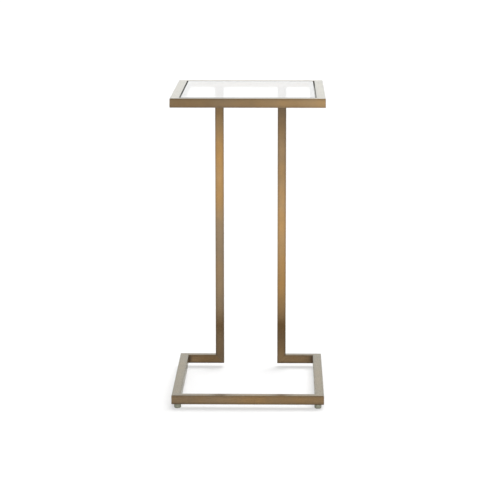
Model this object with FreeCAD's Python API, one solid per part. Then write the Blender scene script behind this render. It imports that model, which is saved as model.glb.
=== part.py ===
import FreeCAD, Part
import math
import os

# Pull-up table: a C-shaped frame of mitred square tube that carries an inset glass top.
# The base is a flat loop of tube, open at the middle of its rear side.
# There its two rear stubs turn up, on mitres, into the uprights under the rear top rail.
# The glass lies on clear bumpers on a ledge of flat bar, tacked inside the top frame.
# Four levellers screw into rivet nuts in the underside of the base.
# Millimetres, +Z up, front of the table towards -Y.
# The origin is on the floor, under the middle of the plan.

# Overall sizes
table_width = 320.0
table_depth = 405.0
table_height = 652.0

# Square tube of the frame
tube_size = 19.0
tube_wall = 1.5
tube_edge_radius = 1.5
bore_edge_radius = 0.5
dressed_corner_radius = 1.2
upright_distance = 69.8

# Glass top and its ledge of flat bar
glass_thickness = 6.0
glass_edge_gap = 2.3
glass_corner_radius = 2.0
glass_arris = 0.6
ledge_width = 12.0
ledge_thickness = 3.0

# Clear bumpers between the ledge and the glass
bumper_radius = 4.0
bumper_thickness = 1.0
bumper_end_distance = 42.0

# Fillet welds under the ledge and beside the tops of the uprights
weld_leg = 2.5
weld_length = 22.0
weld_end_distance = 55.0
weld_crown_share = 0.6
upright_weld_share = 0.8
cope_share = 0.7

# Levellers: a moulded pad on a steel stud
front_leveller_inset = 12.7
pad_radius = 7.4
pad_height = 8.2
pad_sole_chamfer = 1.6
stud_radius = 3.0
stud_reach = 14.0
stud_tip_chamfer = 0.8
stud_head_across_flats = 10.0
stud_head_thickness = 4.0
stud_head_cover = 2.2

# Hexagonal rivet nuts that take the studs
nut_flange_radius = 6.0
nut_flange_thickness = 0.8
nut_across_flats = 9.0
nut_bulb_across_flats = 12.4
nut_bulb_height = 3.0
nut_length = 13.0
nut_hole_clearance = 0.05
thread_clearance = 0.06

# Places that follow from the sizes above
half_tube = tube_size / 2
half_width = table_width / 2
half_depth = table_depth / 2
side_line = half_width - half_tube
end_line = half_depth - half_tube
opening_half_width = half_width - tube_size
opening_half_depth = half_depth - tube_size
base_underside = pad_height + nut_flange_thickness
base_line = base_underside + half_tube
top_underside = table_height - tube_size
top_line = table_height - half_tube
glass_underside = table_height - glass_thickness
ledge_top = glass_underside - bumper_thickness
ledge_underside = ledge_top - ledge_thickness
bumper_inset = (glass_edge_gap + ledge_width) / 2
overrun = tube_size

FULL_TURN = 360
HEX_SIDES = 6
ORIGIN = FreeCAD.Vector(0, 0, 0)
X_AXIS = FreeCAD.Vector(1, 0, 0)
Y_AXIS = FreeCAD.Vector(0, 1, 0)
Z_AXIS = FreeCAD.Vector(0, 0, 1)
SIDES = {"left": -1, "right": 1}
ENDS = {"front": -1, "rear": 1}


def rounded_bar(size, edge_radius, length):
    """Square bar along +Z about the Z axis, with its four long edges rounded."""
    bar = Part.makeBox(size, size, length, FreeCAD.Vector(-size / 2, -size / 2, 0))
    long_edges = [edge for edge in bar.Edges if edge.BoundBox.ZLength > length / 2]
    return bar.makeFillet(edge_radius, long_edges)


def laid_along(shape, start, direction):
    """The shape with its own +Z axis turned to a direction and its foot moved to start."""
    shape.Placement = FreeCAD.Placement(start, FreeCAD.Rotation(Z_AXIS, direction))
    return shape


def tube_between(start, end):
    """Square tube along the line from start to end, cut square at both ends."""
    run = end - start
    outside = rounded_bar(tube_size, tube_edge_radius, run.Length)
    bore_size = tube_size - 2 * tube_wall
    bore = rounded_bar(bore_size, bore_edge_radius, run.Length + 2 * overrun)
    bore.translate(Z_AXIS * -overrun)
    return laid_along(outside.cut(bore), start, run)


def space_beyond(point, outward):
    """Block that starts at the plane through the point and fills the outward side of it."""
    width = 4 * tube_size
    block = Part.makeBox(width, width, width, FreeCAD.Vector(-width / 2, -width / 2, 0))
    return laid_along(block, point, outward)


def mitred_tube(start, end, start_turn, end_turn):
    """Tube between two corners of the centre line, sawn to a mitre at each.

    A turn is the direction in which the next tube leaves that corner.
    """
    run = end - start
    along = run * (1 / run.Length)
    tube = tube_between(start - along * tube_size, end + along * tube_size)
    tube = tube.cut(space_beyond(start, start_turn - along))
    return tube.cut(space_beyond(end, end_turn + along))


def corner_waste(corner, inward_a, inward_b):
    """What is ground off the outside edge of a mitred corner when the weld is dressed."""
    radius = dressed_corner_radius
    length = tube_size + 2 * overrun
    width = radius + overrun
    block = Part.makeBox(width, width, length, FreeCAD.Vector(-overrun, -overrun, -length / 2))
    kept = Part.makeCylinder(radius, length, FreeCAD.Vector(radius, radius, -length / 2))
    waste = block.cut(kept)
    turn = FreeCAD.Rotation(inward_a, inward_b, inward_a.cross(inward_b), "ZXY")
    waste.Placement = FreeCAD.Placement(corner, turn)
    return waste


def plan_corner_wastes(height):
    """The waste at the four outside corners of a rectangle of rails at one height."""
    wastes = []
    for side in SIDES.values():
        for end in ENDS.values():
            corner = FreeCAD.Vector(side * half_width, end * half_depth, height)
            wastes.append(corner_waste(corner, X_AXIS * -side, Y_AXIS * -end))
    return wastes


def upright_foot_waste(side):
    """The waste at the outside corner where a rear stub turns up into its upright."""
    corner = FreeCAD.Vector(side * (upright_distance - half_tube), end_line, base_underside)
    return corner_waste(corner, X_AXIS * side, Z_AXIS)


def cross_rail(end, height):
    """Front or rear rail of a loop, across the whole width."""
    start = FreeCAD.Vector(-side_line, end * end_line, height)
    finish = FreeCAD.Vector(side_line, end * end_line, height)
    rail = mitred_tube(start, finish, Y_AXIS * -end, Y_AXIS * -end)
    return rail.cut(plan_corner_wastes(height))


def side_rail(side, height):
    """Left or right rail of a loop, from front to rear."""
    start = FreeCAD.Vector(side * side_line, -end_line, height)
    finish = FreeCAD.Vector(side * side_line, end_line, height)
    rail = mitred_tube(start, finish, X_AXIS * -side, X_AXIS * -side)
    return rail.cut(plan_corner_wastes(height))


def rear_stub(side):
    """Short rear rail of the base, from a side rail in to the foot of an upright."""
    start = FreeCAD.Vector(side * side_line, end_line, base_line)
    finish = FreeCAD.Vector(side * upright_distance, end_line, base_line)
    stub = mitred_tube(start, finish, Y_AXIS * -1, Z_AXIS)
    return stub.cut(plan_corner_wastes(base_line) + [upright_foot_waste(side)])


def upright(side):
    """Upright, mitred to its stub and coped round the underside of the rear top rail."""
    foot = FreeCAD.Vector(side * upright_distance, end_line, base_line)
    cope_height = tube_edge_radius * cope_share
    head = FreeCAD.Vector(foot.x, foot.y, top_underside + cope_height)
    tube = tube_between(foot - Z_AXIS * tube_size, head)
    tube = tube.cut(space_beyond(foot, X_AXIS * side - Z_AXIS))
    rail = rounded_bar(tube_size, tube_edge_radius, table_width)
    rail = laid_along(rail, FreeCAD.Vector(-half_width, end_line, top_line), X_AXIS)
    return tube.cut([rail, upright_foot_waste(side)])


def leveller_places():
    """Name, x and y of the axis of each leveller.

    The rear ones are on the centre lines of the side rails, and the front ones a little inside them.
    """
    lines = {"front": half_width - front_leveller_inset, "rear": side_line}
    places = []
    for end_name, end in ENDS.items():
        for side_name, side in SIDES.items():
            places.append((f"{end_name}_{side_name}", side * lines[end_name], end * end_line))
    return places


def hex_prism(across_flats, low, high, x, y):
    """Upright hexagonal prism about the vertical axis at x and y, two flats facing front and rear."""
    radius = across_flats / math.sqrt(3)
    corners = []
    for step in range(HEX_SIDES):
        angle = step * math.tau / HEX_SIDES
        corners.append(FreeCAD.Vector(x + radius * math.cos(angle), y + radius * math.sin(angle), low))
    face = Part.Face(Part.makePolygon(corners + corners[:1]))
    return face.extrude(Z_AXIS * (high - low))


def punched_for_nuts(rail):
    """The rail with the rivet nuts' hexagonal holes through its lower wall."""
    across_flats = nut_across_flats + 2 * nut_hole_clearance
    for _, x, y in leveller_places():
        rail = rail.cut(hex_prism(across_flats, base_underside - overrun, base_line, x, y))
    return rail


def cross_ledge(end):
    """Flat bar inside the front or rear top rail, across the whole opening."""
    edge = end * opening_half_depth
    corner_y = min(edge, edge - end * ledge_width)
    corner = FreeCAD.Vector(-opening_half_width, corner_y, ledge_underside)
    return Part.makeBox(2 * opening_half_width, ledge_width, ledge_thickness, corner)


def side_ledge(side):
    """Flat bar inside a side top rail, butted between the front and rear bars."""
    edge = side * opening_half_width
    corner_x = min(edge, edge - side * ledge_width)
    half_length = opening_half_depth - ledge_width
    corner = FreeCAD.Vector(corner_x, -half_length, ledge_underside)
    return Part.makeBox(ledge_width, 2 * half_length, ledge_thickness, corner)


def fillet_weld(root, along, leg_a, leg_b, length):
    """Convex fillet weld in the corner between two faces, centred on its root point."""
    start = root - along * (length / 2)
    toe_a = start + leg_a * weld_leg
    toe_b = start + leg_b * weld_leg
    crown = start + (leg_a + leg_b) * (weld_leg * weld_crown_share)
    outline = [
        Part.LineSegment(start, toe_a).toShape(),
        Part.Arc(toe_a, crown, toe_b).toShape(),
        Part.LineSegment(toe_b, start).toShape(),
    ]
    return Part.Face(Part.Wire(outline)).extrude(along * length)


def ledge_welds():
    """Tacks under the ledge: three along each side and two along the front and the rear."""
    welds = []
    down = Z_AXIS * -1
    for side in SIDES.values():
        for step in (-1, 0, 1):
            y = step * (opening_half_depth - weld_end_distance)
            root = FreeCAD.Vector(side * opening_half_width, y, ledge_underside)
            welds.append(fillet_weld(root, Y_AXIS, X_AXIS * -side, down, weld_length))
    for end in ENDS.values():
        for side in SIDES.values():
            x = side * (opening_half_width - weld_end_distance)
            root = FreeCAD.Vector(x, end * opening_half_depth, ledge_underside)
            welds.append(fillet_weld(root, X_AXIS, Y_AXIS * -end, down, weld_length))
    return Part.makeCompound(welds)


def upright_welds():
    """Welds on both flanks of each upright, under the rear top rail."""
    welds = []
    length = (tube_size - 2 * tube_edge_radius) * upright_weld_share
    for side in SIDES.values():
        for flank in SIDES.values():
            x = side * upright_distance + flank * half_tube
            root = FreeCAD.Vector(x, end_line, top_underside)
            welds.append(fillet_weld(root, Y_AXIS, X_AXIS * flank, Z_AXIS * -1, length))
    return Part.makeCompound(welds)


def glass_top():
    """Flat glass with rounded corners and ground arrises, flush with the frame."""
    half_x = opening_half_width - glass_edge_gap
    half_y = opening_half_depth - glass_edge_gap
    corner = FreeCAD.Vector(-half_x, -half_y, glass_underside)
    pane = Part.makeBox(2 * half_x, 2 * half_y, glass_thickness, corner)
    upright_edges = [edge for edge in pane.Edges if edge.BoundBox.ZLength > glass_thickness / 2]
    pane = pane.makeFillet(glass_corner_radius, upright_edges)
    rim_edges = [edge for edge in pane.Edges if edge.BoundBox.ZLength < glass_thickness / 2]
    return pane.makeChamfer(glass_arris, rim_edges)


def turned(outline, x, y):
    """Solid turned about a vertical axis at x and y, from points of radius and height."""
    points = [FreeCAD.Vector(radius, 0, height) for radius, height in outline]
    face = Part.Face(Part.makePolygon(points + points[:1]))
    solid = face.revolve(ORIGIN, Z_AXIS, FULL_TURN)
    solid.translate(FreeCAD.Vector(x, y, 0))
    return solid


def glass_bumpers():
    """Flat clear dots on the ledge, one near each end of both side bars, that the glass rests on."""
    bumpers = []
    for side in SIDES.values():
        for end in ENDS.values():
            x = side * (opening_half_width - bumper_inset)
            y = end * (opening_half_depth - bumper_end_distance)
            foot = FreeCAD.Vector(x, y, ledge_top)
            bumpers.append(Part.makeCylinder(bumper_radius, bumper_thickness, foot))
    return Part.makeCompound(bumpers)


def leveller_stud(x, y):
    """Hexagon-headed steel stud, its head moulded into the pad."""
    head_top = pad_height - stud_head_cover
    tip = pad_height + stud_reach
    outline = [
        (0, head_top),
        (stud_radius, head_top),
        (stud_radius, tip - stud_tip_chamfer),
        (stud_radius - stud_tip_chamfer, tip),
        (0, tip),
    ]
    head = hex_prism(stud_head_across_flats, head_top - stud_head_thickness, head_top, x, y)
    return turned(outline, x, y).fuse(head)


def leveller_pad(x, y):
    """Round moulded pad with a chamfered sole, closed round the head of its stud."""
    outline = [
        (0, 0),
        (pad_radius - pad_sole_chamfer, 0),
        (pad_radius, pad_sole_chamfer),
        (pad_radius, pad_height),
        (0, pad_height),
    ]
    return turned(outline, x, y).cut(leveller_stud(x, y))


def rivet_nut(x, y):
    """Set rivet nut, its flange under the wall of the rail and its bulb clamped above it."""
    wall_top = base_underside + tube_wall
    top = pad_height + nut_length
    foot = FreeCAD.Vector(x, y, pad_height)
    flange = Part.makeCylinder(nut_flange_radius, nut_flange_thickness, foot)
    shank = hex_prism(nut_across_flats, base_underside, top, x, y)
    bulb = hex_prism(nut_bulb_across_flats, wall_top, wall_top + nut_bulb_height, x, y)
    bore = Part.makeCylinder(stud_radius + thread_clearance, nut_length, foot)
    return flange.fuse([shank, bulb]).cut(bore)


def top_frame():
    """The four rails round the glass."""
    nodes = {}
    for name, end in ENDS.items():
        nodes[f"top_{name}_rail"] = cross_rail(end, top_line)
    for name, side in SIDES.items():
        nodes[f"top_{name}_rail"] = side_rail(side, top_line)
    return nodes


def base_and_uprights():
    """The base loop with its rear stubs, and the uprights that stand on them."""
    nodes = {"base_front_rail": punched_for_nuts(cross_rail(ENDS["front"], base_line))}
    for name, side in SIDES.items():
        nodes[f"base_{name}_rail"] = punched_for_nuts(side_rail(side, base_line))
        nodes[f"base_rear_{name}_stub"] = punched_for_nuts(rear_stub(side))
        nodes[f"{name}_upright"] = upright(side)
    return nodes


def glass_and_ledge():
    """The glass, the bars it is carried by, the bumpers between them and the welds."""
    nodes = {"glass_top": glass_top(), "glass_bumpers": glass_bumpers()}
    for name, end in ENDS.items():
        nodes[f"glass_ledge_{name}"] = cross_ledge(end)
    for name, side in SIDES.items():
        nodes[f"glass_ledge_{name}"] = side_ledge(side)
    nodes["ledge_welds"] = ledge_welds()
    nodes["upright_welds"] = upright_welds()
    return nodes


def levellers():
    """Pad, stud and rivet nut at each corner of the base."""
    nodes = {}
    for name, x, y in leveller_places():
        nodes[f"{name}_rivet_nut"] = rivet_nut(x, y)
        nodes[f"{name}_leveller_stud"] = leveller_stud(x, y)
        nodes[f"{name}_leveller_pad"] = leveller_pad(x, y)
    return nodes


nodes = {**top_frame(), **base_and_uprights(), **glass_and_ledge(), **levellers()}
os.makedirs("parts", exist_ok=True)
for name, shape in nodes.items():
    shape.exportStep(f"parts/{name}.step")
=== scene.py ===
import math
import bmesh
import bpy
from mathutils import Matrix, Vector


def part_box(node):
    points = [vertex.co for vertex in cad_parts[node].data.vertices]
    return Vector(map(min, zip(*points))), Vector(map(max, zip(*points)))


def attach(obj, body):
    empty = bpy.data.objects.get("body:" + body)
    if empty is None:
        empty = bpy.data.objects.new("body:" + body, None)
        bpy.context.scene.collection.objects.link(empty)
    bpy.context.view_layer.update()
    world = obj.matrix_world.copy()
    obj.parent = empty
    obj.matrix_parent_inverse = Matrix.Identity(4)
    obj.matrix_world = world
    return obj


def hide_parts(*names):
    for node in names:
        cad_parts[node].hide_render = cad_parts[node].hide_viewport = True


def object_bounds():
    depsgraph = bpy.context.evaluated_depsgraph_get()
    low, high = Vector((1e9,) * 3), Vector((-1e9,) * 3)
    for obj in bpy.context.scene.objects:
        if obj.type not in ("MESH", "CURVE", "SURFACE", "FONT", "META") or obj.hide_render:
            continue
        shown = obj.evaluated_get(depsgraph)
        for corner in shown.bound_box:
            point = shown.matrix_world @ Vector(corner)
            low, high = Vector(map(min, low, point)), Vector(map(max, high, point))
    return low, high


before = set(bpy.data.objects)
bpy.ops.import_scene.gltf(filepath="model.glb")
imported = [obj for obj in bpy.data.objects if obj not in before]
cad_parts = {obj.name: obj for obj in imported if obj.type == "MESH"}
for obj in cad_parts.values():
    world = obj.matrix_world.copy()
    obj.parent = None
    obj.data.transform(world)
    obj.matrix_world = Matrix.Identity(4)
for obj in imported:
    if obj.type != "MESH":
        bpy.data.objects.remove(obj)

# The pull-up table in a white studio. Metres, in the CAD's own frame: front towards -Y, +Z up.
cad_box = [list(corner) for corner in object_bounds()]

MM = 0.001
X, Y, Z = range(3)

# Sizes worked out from the frame
upright_low, upright_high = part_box("left_upright")
HALF_TUBE = (upright_high.x - upright_low.x) / 2
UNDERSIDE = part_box("base_left_rail")[0].z
PLAN_SEAM = cad_box[1][Y] - cad_box[1][X]
FOOT_SEAM = -upright_high.x - UNDERSIDE
INNER_WALLS = [cad_box[1][axis] - 2 * HALF_TUBE for axis in (X, Y)]
GAP_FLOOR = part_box("glass_ledge_left")[1].z

# Camera, fitted to the edges of the table in the photograph
CAMERA_PLACE = (0.0771, -4.5224, 1.0948)
CAMERA_PITCH_DOWN = math.radians(9.706)
CAMERA_YAW = math.radians(0.957)
SENSOR_WIDTH = 36.0
LENS = 152.67

# Studio: what the metal mirrors is white near the horizon, and darker to the sides and overhead
WHITE = (1.0, 1.0, 1.0, 1.0)
MIRRORED_SIDES = [(0.45, 1.0), (0.92, 0.80)]
MIRRORED_SKY = [(0.11, 1.08), (0.25, 0.80), (0.50, 0.72), (0.95, 0.66)]
DIFFUSE_LIGHT = 0.40
KEY_DIRECTION = (0.24, 0.70, 1.0)
KEY_ANGLE = math.radians(46.0)
KEY_STRENGTH = 3.25
FILL_PLACE = (0.5, -3.4, 0.8)
FILL_WIDTH = 2.0
FILL_POWER = 55.0
FLOOR_WIDTH = 60.0
FLOOR_GREY = (0.42, 0.42, 0.42, 1.0)
FLOOR_GLOW = 0.54
# Painted light: the floor as glossy rays see it glows, dim near the table, brightest a few metres out and
# fading far off
FLOOR_MIRRORED_GLOW = [(0.30, 0.24), (1.6, 0.40), (4.0, 0.36), (8.0, 0.12)]

# Noise: its detail and roughness where nothing else is said, and the values most of it lies between
NOISE_DETAIL = 3.0
NOISE_ROUGHNESS = 0.55
NOISE_RANGE = (0.30, 0.70)

# The sockets of a Mix node that are its colours
MIX_FIRST = 6
MIX_SECOND = 7
MIX_RESULT = 2

# Aged brass: a dull and a warm scale of tones, from dark to light, and the colour of its patina and of
# painted shade over both
DULL_TONES = [(0.0, (0.116, 0.086, 0.058)), (0.45, (0.278, 0.198, 0.118)), (1.0, (0.500, 0.324, 0.150))]
WARM_TONES = [(0.0, (0.125, 0.077, 0.038)), (0.45, (0.296, 0.180, 0.072)), (1.0, (0.550, 0.296, 0.082))]
PATINA_AND_PAINTED_SHADE = (0.085, 0.060, 0.042)
GRAZING_TINT = (0.94, 1.0, 0.95, 1.0)
MOTTLE_SCALE = 34.0
MOTTLE_DETAIL = 4.0
MOTTLE_TONE = 0.05
FINE_MOTTLE_SCALE = 240.0
FINE_MOTTLE_TONE = 0.018
HAIRLINES_ACROSS = 2600.0
HAIRLINES_ALONG = 28.0
HAIRLINE_DETAIL = 2.0
HAIRLINE_TONE = 0.025
HAIRLINE_BUMP = 0.12
HAIRLINE_DEPTH = 0.01 * MM
HUE_SCALE = 11.0
HUE_DETAIL = 2.0
HUE_RANGE = (0.35, 0.65)
HUE_WARMTH = 0.2
BRASS_ROUGHNESS = (0.170, 0.210)
MOTTLE_ROUGHNESS = (0.014, -0.010)
LACQUER = 0.50
LACQUER_IOR = 1.5
LACQUER_ROUGHNESS = 0.10
SCUFFED_LACQUER_ROUGHNESS = 0.24
SCUFFED_ROUGHNESS = 0.09
# Darkening at the rounded edges and towards them: partly patina, partly painted dark reflection
EDGE_SLANT = (0.03, 0.20)
EDGE_PATINA_AND_PAINTED_REFLECTION = 0.40
CROWN_START = 2.5 * MM
CROWN_PATINA_AND_PAINTED_REFLECTION = (0.24, 0.40)
# Painted shade along the bottom of the tubes, near the floor
FLOOR_SHADE_TOP = UNDERSIDE + 7.0 * MM
FLOOR_PAINTED_SHADE = 0.20
SEAM_WIDTH = 0.18 * MM
SEAM_WEAR_SCALE = 700.0
SEAM_WEAR_RANGE = (0.35, 0.60)
SEAM_PATINA = (0.25, 0.90)
# Painted shade in the inside corners of the base
CORNER_PAINTED_SHADE = 0.75
CORNER_REACH = 11.0 * MM
CORNER_FADE = (-1.0 * MM, -0.2 * MM)
# Painted shade on the walls of the slot round the glass
GAP_PAINTED_SHADE = (0.045, 0.038, 0.030)
GAP_SHADE_DEPTH = 0.8 * MM
GAP_SHADE_ROUGHNESS = 0.6

# Each brass piece: its long axis, its marks, and its tone and warmth at shares of its length. The tones are
# partly the metal's own and partly painted reflection and shade
BRASS_PIECES = {
    # Lighter towards the right end: partly painted light
    "top_front_rail": (
        X,
        "plan gap",
        [(0.0, 0.36, 0.5), (0.22, 0.38, 0.5), (0.44, 0.49, 0.6), (0.78, 0.69, 0.3), (1.0, 0.94, 0.0)],
    ),
    "top_rear_rail": (X, "plan gap", [(0.0, 0.62, 0.1), (0.5, 0.76, 0.1), (1.0, 0.70, 0.1)]),
    "top_left_rail": (Y, "plan gap", [(0.0, 0.52, 0.2), (0.5, 0.60, 0.1), (1.0, 0.54, 0.1)]),
    "top_right_rail": (Y, "plan gap", [(0.0, 0.57, 0.1), (0.5, 0.64, 0.0), (1.0, 0.56, 0.0)]),
    "base_front_rail": (
        X,
        "plan corner scuffed",
        [(0.0, 0.39, 0.5), (0.25, 0.51, 0.4), (0.5, 0.56, 0.6), (1.0, 0.47, 0.6)],
    ),
    "base_left_rail": (Y, "plan corner scuffed", [(0.0, 0.46, 0.3), (0.5, 0.48, 0.3), (1.0, 0.46, 0.3)]),
    "base_right_rail": (Y, "plan corner scuffed", [(0.0, 0.54, 0.0), (0.5, 0.60, 0.0), (1.0, 0.48, 0.1)]),
    "base_rear_left_stub": (
        X,
        "plan foot corner scuffed",
        [(0.0, 0.45, 0.4), (0.28, 0.45, 0.5), (0.70, 0.25, 1.0), (1.0, 0.30, 0.8)],
    ),
    "base_rear_right_stub": (
        X,
        "plan foot corner scuffed",
        [(0.0, 0.44, 0.5), (0.40, 0.38, 0.7), (0.72, 0.40, 0.7), (1.0, 0.46, 0.3)],
    ),
    # Both uprights: dark at the foot, lightest part way up and dark at the head, partly painted reflection,
    # with painted shade at the head under the top frame
    "left_upright": (
        Z,
        "foot",
        [
            (0.0, 0.22, 0.5), (0.31, 0.57, 0.1), (0.43, 0.46, 0.0),
            (0.67, 0.74, 0.8), (0.79, 0.70, 1.0), (1.0, 0.08, 0.6),
        ],
    ),
    "right_upright": (
        Z,
        "foot",
        [
            (0.0, 0.38, 0.6), (0.07, 0.20, 0.9), (0.29, 0.71, 0.8),
            (0.48, 0.80, 0.5), (0.78, 0.42, 0.8), (1.0, 0.03, 0.4),
        ],
    ),
    "glass_ledge_front": (X, "", [(0.0, 0.12, 0.5), (1.0, 0.16, 0.5)]),
    "glass_ledge_rear": (X, "", [(0.0, 0.12, 0.5), (1.0, 0.16, 0.5)]),
    "glass_ledge_left": (Y, "", [(0.0, 0.12, 0.5), (1.0, 0.16, 0.5)]),
    "glass_ledge_right": (Y, "", [(0.0, 0.16, 0.5), (1.0, 0.20, 0.5)]),
}

# Weld metal
WELD_TONES = [(0.25, PATINA_AND_PAINTED_SHADE), (0.55, (0.120, 0.082, 0.050)), (0.80, (0.285, 0.194, 0.096))]
WELD_SCORCH_SCALE = 420.0
WELD_SCORCH_DETAIL = 4.0
WELD_GRAIN_SCALE = 3000.0
WELD_GRAIN_DETAIL = 2.0
WELD_ROUGHNESS = (0.55, 0.38)
WELD_BUMP = 0.4
WELD_GRAIN_DEPTH = 0.05 * MM

# Clear glass
GLASS_IOR = 1.52
GLASS_TINT = (0.55, 0.90, 0.75, 1.0)
GLASS_DENSITY = 3.0
GLASS_GLOSS = 0.45
GLASS_GLOSS_IOR = 1.5
GLASS_GLOSS_ROUGHNESS = 0.02
SMEAR_SCALE = 14.0
SMEAR_DETAIL = 5.0
SMEAR_RANGE = (0.45, 0.75)
SMEAR_ROUGHNESS = 0.035
GROUND_EDGE_SLANT = (0.20, 0.80)
GROUND_EDGE_ROUGHNESS = 0.45
GROUND_EDGE_TINT = (0.72, 0.92, 0.84)

# Clear bumper
BUMPER_TONES = [(0.3, (0.78, 0.80, 0.77)), (0.7, (0.86, 0.87, 0.84))]
BUMPER_HAZE_SCALE = 900.0
BUMPER_ROUGHNESS = (0.18, 0.32)
BUMPER_IOR = 1.42
BUMPER_OPACITY = 0.45

# Plated steel
STEEL_TONES = [(0.3, (0.42, 0.42, 0.40)), (0.7, (0.60, 0.59, 0.52))]
STEEL_CLOUD_SCALE = 500.0
STEEL_GRAIN_SCALE = 5000.0
STEEL_ROUGHNESS = (0.26, 0.40)
STEEL_BUMP = 0.25
STEEL_GRAIN_DEPTH = 0.02 * MM

# Pad plastic
PAD_TONES = [(0.3, (0.286, 0.297, 0.223)), (0.7, (0.403, 0.408, 0.318))]
PAD_SPECKLE_SCALE = 2600.0
PAD_ROUGHNESS = (0.42, 0.60)
PAD_IOR = 1.49
PAD_BUMP = 0.5
PAD_SPECKLE_DEPTH = 0.04 * MM
PAD_SCUFF_SCALE = 300.0
PAD_SCUFF_DETAIL = 4.0
PAD_SCUFF_RANGE = (0.40, 0.65)
PAD_SCUFF_COLOUR = (0.09, 0.09, 0.075)
PAD_SCUFF_STRENGTH = 0.55
PAD_SCUFF_TOP = 3.0 * MM

# Stud
STUD_RADIUS = 3.0 * MM
STUD_TIP_CHAMFER = 0.8 * MM
STUD_HEAD_HEIGHT = 4.0 * MM
HEX_SIDES = 6
THREAD_PITCH = 1.0 * MM
THREAD_DEPTH = 0.55 * MM
THREAD_FLAT_SHARE = 0.12
THREAD_STEPS_ROUND = 36
THREAD_STEPS_PER_PITCH = 8

# Pad
PAD_EDGE_RADIUS = 0.35 * MM
PAD_SOLE_CHAMFER = 1.6 * MM
PAD_PARTING_HEIGHT = 4.6 * MM
PAD_PARTING_RIDGE = 0.12 * MM
PAD_SOLE_GROOVE_RADIUS = 3.6 * MM
PAD_SOLE_GROOVE = 0.35 * MM

# Weld bead, as shares of its leg where no unit is given
BEAD_RIPPLE = 1.5 * MM
BEAD_RIPPLE_SHARE = 0.12
BEAD_CROWN_SHARE = 0.18
BEAD_END_SHARE = 0.92
BEAD_FILL_SHARE = 0.98
BEAD_STEPS_PER_RIPPLE = 6
BEAD_ARC_STEPS = 8

BUMPER_DOME_SHARE = 0.35
LATHE_STEPS = 64
ARC_STEPS = 5
WELD_DISTANCE = 0.01 * MM
SHARP_ANGLE = math.radians(35.0)


class Graph:
    """Builds the shader nodes of one material or world."""

    def __init__(self, owner, output="ShaderNodeOutputMaterial"):
        owner.use_nodes = True
        self.owner = owner
        self.tree = owner.node_tree
        self.tree.nodes.clear()
        self.output = self.tree.nodes.new(output)

    def add(self, kind, inputs=None, **settings):
        """A node with its settings and its inputs, each of them a value or another node's output."""
        node = self.tree.nodes.new(kind)
        for name, value in settings.items():
            setattr(node, name, value)
        for name, value in (inputs or {}).items():
            if isinstance(value, bpy.types.NodeSocket):
                self.tree.links.new(value, node.inputs[name])
            else:
                node.inputs[name].default_value = value
        return node

    def math(self, operation, first, second=0.0):
        return self.add("ShaderNodeMath", {0: first, 1: second}, operation=operation).outputs[0]

    def between(self, value, low, high, to_low=0.0, to_high=1.0):
        """The value mapped smoothly from one range to another, and held at its ends."""
        inputs = {"Value": value, "From Min": low, "From Max": high, "To Min": to_low, "To Max": to_high}
        return self.add("ShaderNodeMapRange", inputs, interpolation_type="SMOOTHSTEP").outputs["Result"]

    def spread(self, noise, low, high):
        """Noise spread over a range of values."""
        return self.between(noise, *NOISE_RANGE, low, high)

    def vary(self, value, noise, amount):
        """The value with noise added, up to the amount either way."""
        return self.math("ADD", value, self.spread(noise, -amount, amount))

    def share(self, value, low, high):
        """How far the value is from low to high."""
        inputs = {"Value": value, "From Min": low, "From Max": high}
        return self.add("ShaderNodeMapRange", inputs).outputs["Result"]

    def noise(self, vector, scale, detail=NOISE_DETAIL):
        inputs = {"Vector": vector, "Scale": scale, "Detail": detail, "Roughness": NOISE_ROUGHNESS}
        return self.add("ShaderNodeTexNoise", inputs).outputs["Fac"]

    def mix(self, factor, first, second):
        node = self.add("ShaderNodeMix", {0: factor}, data_type="RGBA")
        for place, value in ((MIX_FIRST, first), (MIX_SECOND, second)):
            socket = node.inputs[place]
            if isinstance(value, bpy.types.NodeSocket):
                self.tree.links.new(value, socket)
            else:
                socket.default_value = (*value, 1.0)
        return node.outputs[MIX_RESULT]

    def ramp(self, factor, stops, interpolation="LINEAR"):
        """A colour that runs through (place, colour) stops."""
        node = self.add("ShaderNodeValToRGB", {"Fac": factor})
        node.color_ramp.interpolation = interpolation
        elements = node.color_ramp.elements
        for place, _ in stops[1:-1]:
            elements.new(place)
        for element, (place, colour) in zip(elements, stops):
            element.position = place
            element.color = (*colour, 1.0)
        return node.outputs["Color"]

    def bump(self, height, strength, depth):
        inputs = {"Strength": strength, "Distance": depth, "Height": height}
        return self.add("ShaderNodeBump", inputs).outputs["Normal"]

    def point(self):
        """The place on the object, in its own axes."""
        return self.add("ShaderNodeTexCoord").outputs["Object"]

    def normal(self):
        """The object's own normal."""
        return self.add("ShaderNodeTexCoord").outputs["Normal"]

    def parts(self, vector):
        """The X, Y and Z of a vector."""
        return self.add("ShaderNodeSeparateXYZ", {0: vector}).outputs

    def close(self, shader, socket="Surface"):
        """Ends the graph with a shader and gives its material or world."""
        self.tree.links.new(shader.outputs[0], self.output.inputs[socket])
        return self.owner

    def finish(self, **inputs):
        """Closes the material with one Principled shader."""
        named = {name.replace("_", " "): value for name, value in inputs.items()}
        return self.close(self.add("ShaderNodeBsdfPrincipled", named))


def new_material(name):
    return Graph(bpy.data.materials.new(name))


def edge_mask(graph):
    """Zero on the tube's flat faces and one on its rounded edges, told apart by the normal."""
    sizes = [graph.math("ABSOLUTE", part) for part in graph.parts(graph.normal())]
    flatness = graph.math("MAXIMUM", graph.math("MAXIMUM", sizes[X], sizes[Y]), sizes[Z])
    return graph.between(graph.math("SUBTRACT", 1.0, flatness), *EDGE_SLANT)


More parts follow.
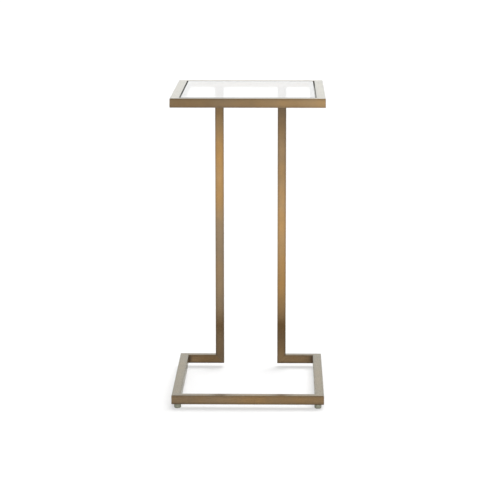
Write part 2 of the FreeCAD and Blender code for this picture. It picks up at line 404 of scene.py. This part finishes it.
def edge_nearness(graph, point, axis, centre):
    """Zero along the middle of each face of a tube, rising to one at its long edges."""
    places = graph.parts(point)
    offsets = [
        graph.math("ABSOLUTE", graph.math("SUBTRACT", places[other], centre[other]))
        for other in (X, Y, Z)
        if other != axis
    ]
    return graph.between(graph.math("MINIMUM", *offsets), CROWN_START, HALF_TUBE)


def patina_and_painted_shade_mask(graph, point, axis, centre, mottle):
    """How far patina and painted shade cover the metal: along rounded edges and towards them, patina with
    painted dark reflection, and near the floor, painted shade.
    """
    # Darker towards the edges: partly patina, partly painted dark reflection
    crown = edge_nearness(graph, point, axis, centre)
    crown = graph.math("MULTIPLY", crown, graph.spread(mottle, *CROWN_PATINA_AND_PAINTED_REFLECTION))
    # Painted shade near the floor
    painted_shade = graph.between(graph.parts(point)[Z], UNDERSIDE, FLOOR_SHADE_TOP, FLOOR_PAINTED_SHADE, 0.0)
    edges = graph.math("MULTIPLY", edge_mask(graph), EDGE_PATINA_AND_PAINTED_REFLECTION)
    return graph.math("MAXIMUM", graph.math("ADD", crown, painted_shade), edges)


def seam_mask(graph, point, marks):
    """One along the hairlines where mitred tubes meet, worn through in places."""
    x, y, z = graph.parts(point)
    across = graph.math("ABSOLUTE", x)
    offsets = []
    if "plan" in marks:
        gap = graph.math("SUBTRACT", graph.math("ABSOLUTE", y), across)
        offsets.append(graph.math("SUBTRACT", gap, PLAN_SEAM))
    if "foot" in marks:
        offsets.append(graph.math("SUBTRACT", graph.math("SUBTRACT", across, z), FOOT_SEAM))
    lines = [graph.between(graph.math("ABSOLUTE", offset), 0.0, SEAM_WIDTH, 1.0, 0.0) for offset in offsets]
    wear = graph.between(graph.noise(point, SEAM_WEAR_SCALE), *SEAM_WEAR_RANGE, *SEAM_PATINA)
    return graph.math("MULTIPLY", graph.math("MAXIMUM", lines[0], lines[-1]), wear)


def insets(graph, point):
    """How far a point lies inside the inner walls of a loop of tube, along X and along Y."""
    return [
        graph.math("SUBTRACT", wall, graph.math("ABSOLUTE", place))
        for place, wall in zip(graph.parts(point), INNER_WALLS)
    ]


def gap_shade_mask(graph, point):
    """One on the walls that face the glass's edge, where painted shade darkens the slot."""
    at_wall = graph.between(graph.math("MINIMUM", *insets(graph, point)), -GAP_SHADE_DEPTH, 0.0)
    return graph.math("MULTIPLY", at_wall, graph.math("GREATER_THAN", graph.parts(point)[Z], GAP_FLOOR))


def corner_shade_mask(graph, point):
    """How far painted shade darkens the inside corners of a loop of tube."""
    both = insets(graph, point)
    near = graph.between(graph.math("MAXIMUM", *both), 0.0, CORNER_REACH, CORNER_PAINTED_SHADE, 0.0)
    return graph.math("MULTIPLY", near, graph.between(graph.math("MINIMUM", *both), *CORNER_FADE))


def hairline_noise(graph, point, axis):
    """Noise drawn out along one axis."""
    scale = [HAIRLINES_ACROSS] * 3
    scale[axis] = HAIRLINES_ALONG
    stretched = graph.add("ShaderNodeMapping", {"Vector": point, "Scale": scale}).outputs[0]
    return graph.noise(stretched, 1.0, HAIRLINE_DETAIL)


def tones_with_painted_light_along(graph, share, stops):
    """A tone and a warmth that ease through (share, tone, warmth) stops; the tones hold painted reflection
    and shade as well as the metal's own variation.
    """
    pairs = [(place, (tone, warmth, 0.0)) for place, tone, warmth in stops]
    both = graph.ramp(share, pairs, "EASE")
    return graph.add("ShaderNodeSeparateColor", {0: both}).outputs[:2]


def aged_brass(node, axis, marks, stops):
    """Satin brass plating under lacquer, with tones along the piece that are partly painted reflection and
    shade, darkening at its edges that is partly patina and partly painted dark reflection, and its marks.

    The marks are mitre seams in plan or at the foot, painted shade in the gap or in inside corners, and
    scuffing.
    """
    graph = new_material(f"aged_brass_{node}")
    low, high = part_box(node)
    point = graph.point()
    # Tones along the piece, partly painted reflection and shade
    tone, warmth = tones_with_painted_light_along(graph, graph.share(graph.parts(point)[axis], low[axis], high[axis]), stops)
    mottle = graph.noise(point, MOTTLE_SCALE, MOTTLE_DETAIL)
    hairlines = hairline_noise(graph, point, axis)
    hue = graph.noise(point, HUE_SCALE, HUE_DETAIL)
    tone = graph.vary(tone, mottle, MOTTLE_TONE)
    tone = graph.vary(tone, graph.noise(point, FINE_MOTTLE_SCALE), FINE_MOTTLE_TONE)
    tone = graph.vary(tone, hairlines, HAIRLINE_TONE)
    warmth = graph.math("ADD", warmth, graph.between(hue, *HUE_RANGE, -HUE_WARMTH, HUE_WARMTH))
    colour = graph.mix(warmth, graph.ramp(tone, DULL_TONES), graph.ramp(tone, WARM_TONES))
    dark = patina_and_painted_shade_mask(graph, point, axis, (low + high) / 2, mottle)
    if marks:
        dark = graph.math("MAXIMUM", dark, seam_mask(graph, point, marks))
    if "corner" in marks:
        # Painted shade in the inside corners
        dark = graph.math("MAXIMUM", dark, corner_shade_mask(graph, point))
    # Patina at the seams, and painted shade and dark reflection at the edges, near the floor and in inside
    # corners
    colour = graph.mix(dark, colour, PATINA_AND_PAINTED_SHADE)
    roughness = graph.spread(hairlines, *BRASS_ROUGHNESS)
    roughness = graph.math("ADD", roughness, graph.spread(mottle, *MOTTLE_ROUGHNESS))
    lacquer_roughness = LACQUER_ROUGHNESS
    if "scuffed" in marks:
        roughness = graph.math("ADD", roughness, SCUFFED_ROUGHNESS)
        lacquer_roughness = SCUFFED_LACQUER_ROUGHNESS
    if "gap" in marks:
        # Painted shade, with more roughness, on the walls that face the glass's edge
        painted_shade = gap_shade_mask(graph, point)
        colour = graph.mix(painted_shade, colour, GAP_PAINTED_SHADE)
        roughness = graph.math("ADD", roughness, graph.math("MULTIPLY", painted_shade, GAP_SHADE_ROUGHNESS))
    return graph.finish(
        Base_Color=colour,
        Metallic=1.0,
        Specular_Tint=GRAZING_TINT,
        Roughness=roughness,
        Coat_Weight=LACQUER,
        Coat_Roughness=lacquer_roughness,
        Coat_IOR=LACQUER_IOR,
        Normal=graph.bump(hairlines, HAIRLINE_BUMP, HAIRLINE_DEPTH),
    )


def weld_metal():
    """Brass-plated weld bead, scorched unevenly along its ripples."""
    graph = new_material("weld_metal")
    point = graph.point()
    scorch = graph.noise(point, WELD_SCORCH_SCALE, WELD_SCORCH_DETAIL)
    grain = graph.noise(point, WELD_GRAIN_SCALE, WELD_GRAIN_DETAIL)
    return graph.finish(
        Base_Color=graph.ramp(scorch, WELD_TONES),
        Metallic=1.0,
        Roughness=graph.spread(scorch, *WELD_ROUGHNESS),
        Normal=graph.bump(grain, WELD_BUMP, WELD_GRAIN_DEPTH),
    )


def clear_glass():
    """Clear float glass with finely ground, green-tinted edges and faint smears on its faces."""
    graph = new_material("clear_glass")
    upward = graph.math("ABSOLUTE", graph.parts(graph.normal())[Z])
    ground = graph.between(upward, *GROUND_EDGE_SLANT, 1.0, 0.0)
    smears = graph.noise(graph.point(), SMEAR_SCALE, SMEAR_DETAIL)
    smeared = graph.between(smears, *SMEAR_RANGE, 0.0, SMEAR_ROUGHNESS)
    absorbed = graph.add("ShaderNodeVolumeAbsorption", {"Color": GLASS_TINT, "Density": GLASS_DENSITY})
    graph.close(absorbed, "Volume")
    return graph.finish(
        Base_Color=graph.mix(ground, WHITE[:3], GROUND_EDGE_TINT),
        Roughness=graph.math("MAXIMUM", smeared, graph.math("MULTIPLY", ground, GROUND_EDGE_ROUGHNESS)),
        IOR=GLASS_IOR,
        Transmission_Weight=1.0,
        Coat_Weight=GLASS_GLOSS,
        Coat_Roughness=GLASS_GLOSS_ROUGHNESS,
        Coat_IOR=GLASS_GLOSS_IOR,
    )


def clear_bumper():
    """Soft clear rubber with a little haze."""
    graph = new_material("clear_bumper")
    haze = graph.noise(graph.point(), BUMPER_HAZE_SCALE)
    return graph.finish(
        Base_Color=graph.ramp(haze, BUMPER_TONES),
        Roughness=graph.spread(haze, *BUMPER_ROUGHNESS),
        IOR=BUMPER_IOR,
        Alpha=BUMPER_OPACITY,
    )


def plated_steel():
    """Zinc-plated steel with a passivated tint."""
    graph = new_material("plated_steel")
    point = graph.point()
    cloud = graph.noise(point, STEEL_CLOUD_SCALE)
    return graph.finish(
        Base_Color=graph.ramp(cloud, STEEL_TONES),
        Metallic=1.0,
        Roughness=graph.spread(cloud, *STEEL_ROUGHNESS),
        Normal=graph.bump(graph.noise(point, STEEL_GRAIN_SCALE), STEEL_BUMP, STEEL_GRAIN_DEPTH),
    )


def pad_plastic():
    """Grey-green moulded plastic with spark-eroded texture, scuffed near the floor."""
    graph = new_material("pad_plastic")
    point = graph.point()
    speckle = graph.noise(point, PAD_SPECKLE_SCALE)
    scuffs = graph.noise(point, PAD_SCUFF_SCALE, PAD_SCUFF_DETAIL)
    near_floor = graph.between(graph.parts(point)[Z], 0.0, PAD_SCUFF_TOP, PAD_SCUFF_STRENGTH, 0.0)
    worn = graph.math("MULTIPLY", near_floor, graph.between(scuffs, *PAD_SCUFF_RANGE))
    return graph.finish(
        Base_Color=graph.mix(worn, graph.ramp(speckle, PAD_TONES), PAD_SCUFF_COLOUR),
        Roughness=graph.spread(speckle, *PAD_ROUGHNESS),
        IOR=PAD_IOR,
        Normal=graph.bump(speckle, PAD_BUMP, PAD_SPECKLE_DEPTH),
    )


def place_camera():
    """The camera at the photograph's angle. Yaw turns it towards -X."""
    data = bpy.data.cameras.new("photo_camera")
    data.sensor_width = SENSOR_WIDTH
    data.lens = LENS
    camera = bpy.data.objects.new("photo_camera", data)
    camera.location = CAMERA_PLACE
    camera.rotation_euler = (math.pi / 2 - CAMERA_PITCH_DOWN, 0.0, CAMERA_YAW)
    bpy.context.scene.collection.objects.link(camera)
    bpy.context.scene.camera = camera


def strength_along(graph, value, stops):
    """A strength that eases through (value, strength) stops."""
    first, last = stops[0][0], stops[-1][0]
    greys = [((place - first) / (last - first), (level, level, level)) for place, level in stops]
    return graph.ramp(graph.share(value, first, last), greys, "EASE")


def ray_masks(graph):
    """One for the rays that see the studio as background, and one for glossy rays."""
    path = graph.add("ShaderNodeLightPath").outputs
    direct = graph.math("MAXIMUM", path["Is Camera Ray"], path["Is Transmission Ray"])
    return direct, path["Is Glossy Ray"]


def studio_world():
    """White background, a soft even light, and for glossy rays a studio darker at the sides and above."""
    graph = Graph(bpy.data.worlds.new("studio"), "ShaderNodeOutputWorld")
    x, _, z = graph.parts(graph.add("ShaderNodeTexCoord").outputs["Generated"])
    direct, glossy = ray_masks(graph)
    sides = strength_along(graph, graph.math("ABSOLUTE", x), MIRRORED_SIDES)
    mirrored = graph.math("MULTIPLY", sides, strength_along(graph, z, MIRRORED_SKY))
    even = graph.math("MULTIPLY", graph.math("SUBTRACT", 1.0, glossy), DIFFUSE_LIGHT)
    strength = graph.math("MAXIMUM", graph.math("MULTIPLY", glossy, mirrored), direct)
    strength = graph.math("MAXIMUM", strength, even)
    background = graph.add("ShaderNodeBackground", {"Color": WHITE, "Strength": strength})
    bpy.context.scene.world = graph.close(background)


def studio_floor():
    """Pale floor that keeps the table's shadow and meets the white background. To glossy rays it glows with
    painted light, dim near the table, brightest a few metres out and fading far off.
    """
    graph = new_material("studio_floor")
    diffuse = graph.add("ShaderNodeBsdfDiffuse", {"Color": FLOOR_GREY})
    away = graph.add("ShaderNodeVectorMath", {0: graph.point()}, operation="LENGTH").outputs["Value"]
    direct, glossy = ray_masks(graph)
    # Painted light for glossy rays, by distance from the table
    mirrored = graph.math("MULTIPLY", glossy, strength_along(graph, away, FLOOR_MIRRORED_GLOW))
    strength = graph.math("MAXIMUM", mirrored, graph.math("MULTIPLY", direct, FLOOR_GLOW))
    glow = graph.add("ShaderNodeEmission", {"Color": WHITE, "Strength": strength})
    both = graph.add("ShaderNodeAddShader", {0: diffuse.outputs[0], 1: glow.outputs[0]})
    bpy.ops.mesh.primitive_plane_add(size=FLOOR_WIDTH)
    floor = bpy.context.object
    floor.name = "studio_floor"
    floor.data.materials.append(graph.close(both))


def add_lamp(data, place):
    """A lamp that shines from a place towards the table, and that neither metal nor glass shows."""
    lamp = bpy.data.objects.new(data.name, data)
    lamp.location = place
    lamp.rotation_euler = (-Vector(place)).to_track_quat("-Z", "Y").to_euler()
    lamp.visible_glossy = False
    lamp.visible_transmission = False
    bpy.context.scene.collection.objects.link(lamp)


def lamps():
    """A soft key from above and behind, and a low fill from the front."""
    key = bpy.data.lights.new("key_light", "SUN")
    key.angle = KEY_ANGLE
    key.energy = KEY_STRENGTH
    add_lamp(key, KEY_DIRECTION)
    fill = bpy.data.lights.new("fill_light", "AREA")
    fill.size = FILL_WIDTH
    fill.energy = FILL_POWER
    add_lamp(fill, FILL_PLACE)


def dress(node, material):
    """Gives a CAD node a material in each of its slots."""
    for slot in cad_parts[node].material_slots:
        slot.link = "OBJECT"
        slot.material = material


def new_piece(name, mesh, material, body, node):
    """A finished piece that rides on a body and stands for a CAD node."""
    data = bpy.data.meshes.new(name)
    bmesh.ops.recalc_face_normals(mesh, faces=mesh.faces)
    mesh.to_mesh(data)
    mesh.free()
    data.materials.append(material)
    data.shade_smooth()
    data.set_sharp_from_angle(angle=SHARP_ANGLE)
    piece = bpy.data.objects.new(name, data)
    bpy.context.scene.collection.objects.link(piece)
    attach(piece, body)
    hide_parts(node)


def loose_boxes(node):
    """The lowest and highest corners of each separate solid in a CAD node."""
    mesh = bmesh.new()
    mesh.from_mesh(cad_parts[node].data)
    bmesh.ops.remove_doubles(mesh, verts=mesh.verts, dist=WELD_DISTANCE)
    left = set(mesh.verts)
    boxes = []
    while left:
        stack = [left.pop()]
        island = []
        while stack:
            vert = stack.pop()
            island.append(vert.co.copy())
            for edge in vert.link_edges:
                other = edge.other_vert(vert)
                if other in left:
                    left.remove(other)
                    stack.append(other)
        low = Vector([min(point[axis] for point in island) for axis in (X, Y, Z)])
        high = Vector([max(point[axis] for point in island) for axis in (X, Y, Z)])
        boxes.append((low, high))
    mesh.free()
    return sorted(boxes, key=lambda box: tuple(box[0]))


def add_ring(mesh, centre, height, radii):
    """A ring of vertices about the upright axis through a centre, one for each of its radii."""
    ring = []
    for step, radius in enumerate(radii):
        angle = math.tau * step / len(radii)
        place = (centre.x + radius * math.cos(angle), centre.y + radius * math.sin(angle), height)
        ring.append(mesh.verts.new(place))
    return ring


def join_rings(mesh, rings):
    """Faces between each ring and the next. A ring may be a single vertex."""
    for low, high in zip(rings, rings[1:]):
        steps = max(len(low), len(high))
        for step in range(steps):
            following = (step + 1) % steps
            corners = [low[step % len(low)], low[following % len(low)]]
            corners += [high[following % len(high)], high[step % len(high)]]
            mesh.faces.new(list(dict.fromkeys(corners)))


def lathe(mesh, outline, centre):
    """Turns an outline of (radius, height) points that starts and ends on the axis."""
    rings = [
        add_ring(mesh, centre, height, [radius] * (LATHE_STEPS if radius > 0.0 else 1))
        for radius, height in outline
    ]
    join_rings(mesh, rings)


def rounded_corner(radius, height, size):
    """Points of the arc that rounds an outer corner into a flat top, about its centre's radius and height."""
    points = []
    for step in range(ARC_STEPS + 1):
        angle = math.pi / 2 * step / ARC_STEPS
        points.append((radius + size * math.cos(angle), height + size * math.sin(angle)))
    return points


def pad_outline(radius, low, high, bore_floor):
    """Outline of a moulded pad: grooved sole, chamfer, parting ridge, rounded rim and stud bore."""
    edge = PAD_EDGE_RADIUS
    groove = PAD_SOLE_GROOVE_RADIUS
    parting = low + PAD_PARTING_HEIGHT
    ridge = PAD_PARTING_RIDGE
    wall = radius - ridge
    outline = [(0.0, low), (groove - PAD_SOLE_GROOVE, low), (groove, low + PAD_SOLE_GROOVE)]
    outline += [(groove + PAD_SOLE_GROOVE, low), (radius - PAD_SOLE_CHAMFER, low)]
    outline += [(wall - edge / 2, low + PAD_SOLE_CHAMFER - edge / 2), (wall, low + PAD_SOLE_CHAMFER)]
    outline += [(wall, parting - ridge), (radius, parting), (wall, parting + ridge)]
    outline += rounded_corner(wall - edge, high - edge, edge)
    outline += [(STUD_RADIUS, high), (STUD_RADIUS, bore_floor), (0.0, bore_floor)]
    return outline


def leveller_pad(name, material):
    """Moulded pad of one leveller, from the box of its CAD solid."""
    node = f"{name}_leveller_pad"
    low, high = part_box(node)
    stud_low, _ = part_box(f"{name}_leveller_stud")
    outline = pad_outline((high.x - low.x) / 2, low.z, high.z, stud_low.z + STUD_HEAD_HEIGHT)
    mesh = bmesh.new()
    lathe(mesh, outline, (low + high) / 2)
    new_piece(f"{name}_moulded_pad", mesh, material, f"{name}_leveller", node)


def thread_radius(turn, height, length):
    """Radius of the M6 thread at a turn and height above its start, chamfered at its tip."""
    phase = (height / THREAD_PITCH - turn) % 1.0
    flank = (abs(2.0 * phase - 1.0) - THREAD_FLAT_SHARE) / (1.0 - 2.0 * THREAD_FLAT_SHARE)
    radius = STUD_RADIUS - THREAD_DEPTH * min(1.0, max(0.0, flank))
    tip_limit = STUD_RADIUS - max(0.0, height - (length - STUD_TIP_CHAMFER))
    return min(radius, tip_limit)


def thread_rings(mesh, centre, base, length):
    """Rings of the thread from its base up to its tip."""
    rows = round(length / THREAD_PITCH * THREAD_STEPS_PER_PITCH)
    turns = [step / THREAD_STEPS_ROUND for step in range(THREAD_STEPS_ROUND)]
    heights = [length * row / rows for row in range(rows + 1)]
    return [
        add_ring(mesh, centre, base + height, [thread_radius(turn, height, length) for turn in turns])
        for height in heights
    ]


def close_shoulder(mesh, hexagon, circle):
    """The flat shoulder between the rim of a hexagon head and the circle its thread starts from."""
    steps = len(circle) // HEX_SIDES
    for side in range(HEX_SIDES):
        arc = [circle[(side * steps + step) % len(circle)] for step in range(steps, -1, -1)]
        mesh.faces.new((hexagon[side], hexagon[(side + 1) % HEX_SIDES], *arc))


def leveller_stud(name, material):
    """Stud of one leveller, with a real helical thread above its hexagon head."""
    node = f"{name}_leveller_stud"
    low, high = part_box(node)
    centre = (low + high) / 2
    head_top = low.z + STUD_HEAD_HEIGHT
    head_radii = [(high.x - low.x) / 2] * HEX_SIDES
    mesh = bmesh.new()
    head = [add_ring(mesh, centre, height, head_radii) for height in (low.z, head_top)]
    thread = thread_rings(mesh, centre, head_top, high.z - head_top)
    mesh.faces.new(head[0])
    join_rings(mesh, head)
    close_shoulder(mesh, head[1], thread[0])
    join_rings(mesh, thread)
    mesh.faces.new(thread[-1])
    new_piece(f"{name}_threaded_stud", mesh, material, f"{name}_leveller", node)


def bead(mesh, low, high, inward_axis, inward):
    """One rippled fillet weld in the box of its CAD solid, with rounded starts and stops."""
    along_axis = Y if inward_axis == X else X
    length = high[along_axis] - low[along_axis]
    leg = high.z - low.z
    root = low[inward_axis] if inward > 0 else high[inward_axis]
    rows = round(length / BEAD_RIPPLE) * BEAD_STEPS_PER_RIPPLE
    rings = []
    for row in range(rows + 1):
        share = row / rows
        ripple = (row % BEAD_STEPS_PER_RIPPLE) / BEAD_STEPS_PER_RIPPLE
        run_out = min(1.0, min(share, 1.0 - share) * length / leg)
        size = leg * math.sqrt(1.0 - (1.0 - run_out) ** 2 * BEAD_END_SHARE)
        size *= (1.0 - BEAD_RIPPLE_SHARE * ripple) * BEAD_FILL_SHARE
        profile = [(0.0, 0.0)]
        for step in range(BEAD_ARC_STEPS + 1):
            across = step / BEAD_ARC_STEPS
            crown = BEAD_CROWN_SHARE * math.sin(math.pi * across)
            profile.append((size * (across + crown), size * (1.0 - across + crown)))
        ring = []
        for out, down in profile:
            place = [0.0, 0.0, high.z - down]
            place[inward_axis] = root + inward * out
            place[along_axis] = low[along_axis] + length * share
            ring.append(mesh.verts.new(place))
        rings.append(ring)
    mesh.faces.new(rings[0])
    join_rings(mesh, rings)
    mesh.faces.new(rings[-1])


def ledge_beads(material):
    """The tacks under the ledge, each leaning on the rail it is nearest."""
    mesh = bmesh.new()
    for low, high in loose_boxes("ledge_welds"):
        size = high - low
        axis = X if size.x < size.y else Y
        inward = -1 if (low + high)[axis] > 0 else 1
        bead(mesh, low, high, axis, inward)
    new_piece("ledge_beads", mesh, material, "frame", "ledge_welds")


def upright_beads(material):
    """The welds on both flanks of the uprights, each growing away from its upright."""
    boxes = [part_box(node) for node in ("left_upright", "right_upright")]
    centres = [(low.x + high.x) / 2 for low, high in boxes]
    mesh = bmesh.new()
    for low, high in loose_boxes("upright_welds"):
        middle = (low.x + high.x) / 2
        nearest = min(centres, key=lambda centre: abs(centre - middle))
        bead(mesh, low, high, X, 1 if middle > nearest else -1)
    new_piece("upright_beads", mesh, material, "frame", "upright_welds")


def bumpers(material):
    """Domed clear dots, pressed flat on top by the glass."""
    mesh = bmesh.new()
    for low, high in loose_boxes("glass_bumpers"):
        radius = (high.x - low.x) / 2
        dome = (high.z - low.z) * BUMPER_DOME_SHARE
        outline = [(0.0, low.z), (radius, low.z)]
        outline += rounded_corner(radius - dome, high.z - dome, dome)
        outline += [(0.0, high.z)]
        lathe(mesh, outline, (low + high) / 2)
    new_piece("domed_bumpers", mesh, material, "frame", "glass_bumpers")


def dress_brass():
    """Brass on every tube and on the bars of the ledge, with its grain along the piece."""
    for node, (axis, marks, stops) in BRASS_PIECES.items():
        dress(node, aged_brass(node, axis, marks, stops))


def build_levellers():
    """Pad, threaded stud and rivet nut at each corner."""
    plastic = pad_plastic()
    steel = plated_steel()
    for end in ("front", "rear"):
        for side in ("left", "right"):
            name = f"{end}_{side}"
            leveller_pad(name, plastic)
            leveller_stud(name, steel)
            dress(f"{name}_rivet_nut", steel)


place_camera()
studio_world()
studio_floor()
lamps()
dress_brass()
dress("glass_top", clear_glass())
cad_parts["glass_top"].visible_shadow = False
welds = weld_metal()
ledge_beads(welds)
upright_beads(welds)
bumpers(clear_bumper())
build_levellers()

bpy.context.scene.view_settings.view_transform = "Standard"
